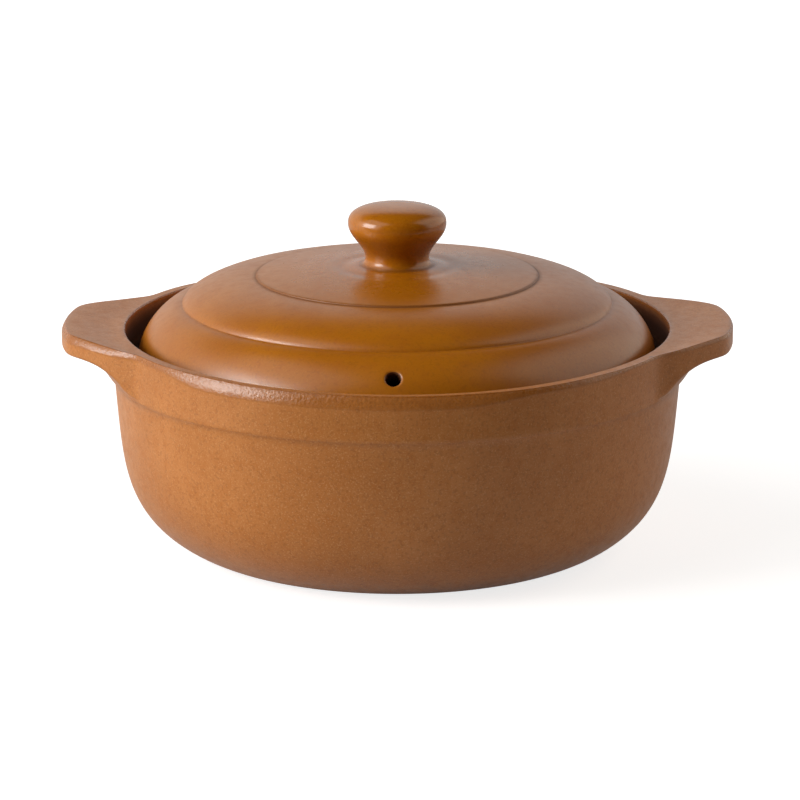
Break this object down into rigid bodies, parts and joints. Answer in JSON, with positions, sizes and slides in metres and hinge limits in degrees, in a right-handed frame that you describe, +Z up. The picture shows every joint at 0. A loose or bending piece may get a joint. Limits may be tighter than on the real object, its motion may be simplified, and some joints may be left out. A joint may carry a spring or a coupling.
{
  "type": "clay soup pot",
  "caption": "Shallow clay soup pot with lug handles, a stepped rim collar, and a domed tiered lid that lifts off by a mushroom knob and has a small steam vent.",
  "frame": {"origin": "middle of the foot, on the table", "axes": "+Z up, +X along the handles, -Y towards the steam vent, which is the front"},
  "size_m": [0.29, 0.246, 0.1493],
  "materials": {
    "caramel_glaze": "satin caramel-brown glaze, darker and redder where it is thin"
  },
  "bodies": {
    "pot": {"pot_body": "caramel_glaze", "left_handle": "caramel_glaze", "right_handle": "caramel_glaze"},
    "lid": {"lid_skirt": "caramel_glaze", "lid_crown": "caramel_glaze", "lid_knob": "caramel_glaze"}
  },
  "joints": [
    {"name": "lid_lift", "type": "slide", "parent": "pot", "child": "lid", "axis": [0, 0, 1], "range_m": [0, 0.12]}
  ]
}
